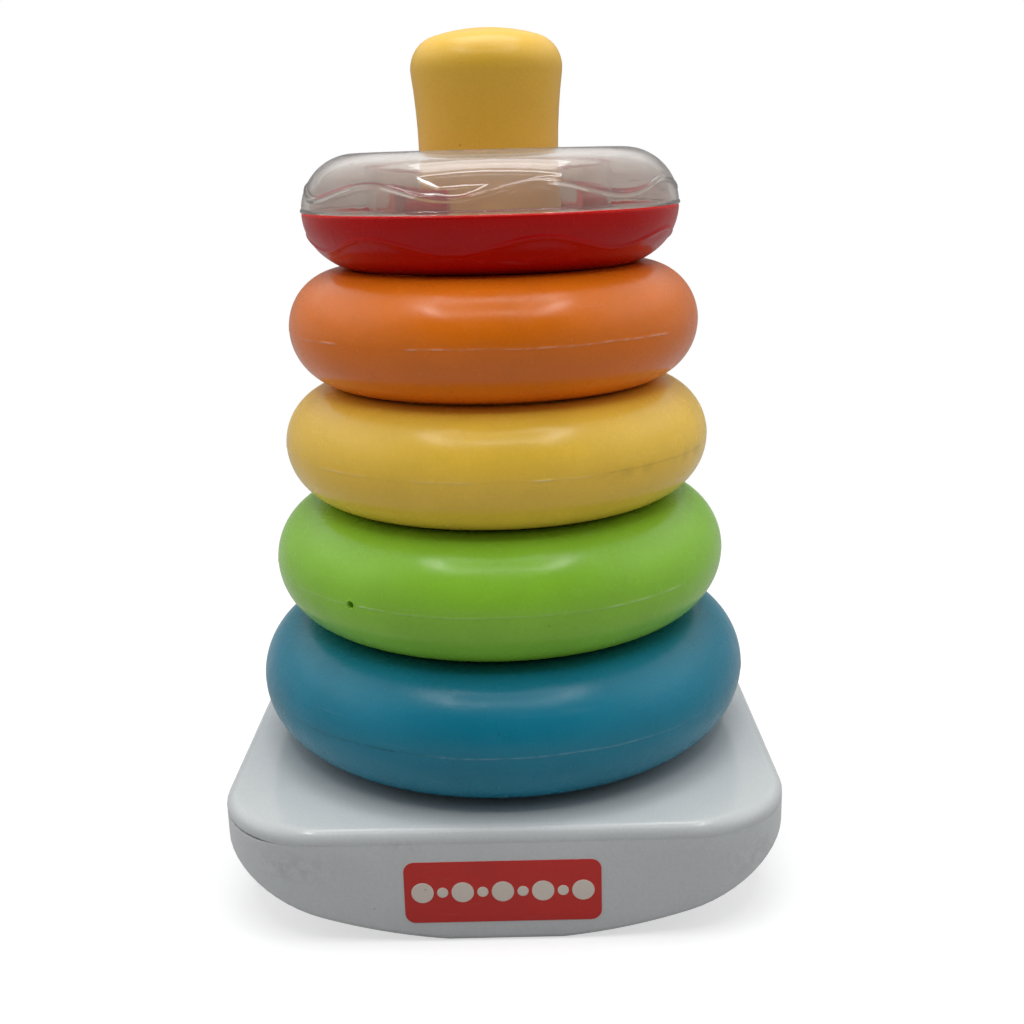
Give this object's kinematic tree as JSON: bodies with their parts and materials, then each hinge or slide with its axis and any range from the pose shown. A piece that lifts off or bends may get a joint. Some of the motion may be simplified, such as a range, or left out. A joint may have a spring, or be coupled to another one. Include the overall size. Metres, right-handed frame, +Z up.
{
  "type": "stacking ring toy",
  "caption": "Stacking ring toy: a tapered post on a rocking base carries hollow coloured rings of falling size and a clear-topped rattle ring.",
  "frame": {"origin": "middle of the flat foot under the rocking base", "axes": "+Z up the post, -Y towards the front of the base, X along the rocking direction"},
  "size_m": [0.132, 0.128, 0.2],
  "materials": {
    "base_white": "satin moulded polyethylene, lightly scuffed",
    "post_yellow": "satin moulded polyethylene",
    "ring_blue": "satin blow-moulded polyethylene",
    "ring_green": "satin blow-moulded polyethylene",
    "ring_yellow": "satin blow-moulded polyethylene",
    "ring_orange": "satin blow-moulded polyethylene",
    "rattle_red": "semi-gloss moulded plastic",
    "rattle_clear": "clear, slightly smoky moulded plastic",
    "bead_blue": "gloss bead",
    "bead_green": "gloss bead",
    "bead_yellow": "gloss bead",
    "bead_orange": "gloss bead"
  },
  "bodies": {
    "base": {"base_cover": "base_white", "base_rocker": "base_white", "centre_post": "post_yellow"},
    "blue": {"blue_ring": "ring_blue"},
    "green": {"green_ring": "ring_green"},
    "yellow": {"yellow_ring": "ring_yellow"},
    "orange": {"orange_ring": "ring_orange"},
    "rattle": {"rattle_lower_shell": "rattle_red", "rattle_clear_cover": "rattle_clear"},
    "beads": {"blue_beads": "bead_blue", "green_beads": "bead_green", "yellow_beads": "bead_yellow", "orange_beads": "bead_orange"}
  },
  "joints": [
    {"name": "blue_lift", "type": "slide", "parent": "base", "child": "blue", "axis": [0, 0, 1], "range_m": [0, 0.177]},
    {"name": "green_lift", "type": "slide", "parent": "blue", "child": "green", "axis": [0, 0, 1], "range_m": [0, 0.145]},
    {"name": "yellow_lift", "type": "slide", "parent": "green", "child": "yellow", "axis": [0, 0, 1], "range_m": [0, 0.115]},
    {"name": "orange_lift", "type": "slide", "parent": "yellow", "child": "orange", "axis": [0, 0, 1], "range_m": [0, 0.087]},
    {"name": "rattle_lift", "type": "slide", "parent": "orange", "child": "rattle", "axis": [0, 0, 1], "range_m": [0, 0.059]},
    {"name": "bead_roll", "type": "hinge", "parent": "rattle", "child": "beads", "pos_m": [0, 0, 0.15096], "axis": [0, 0, 1], "continuous": true}
  ]
}
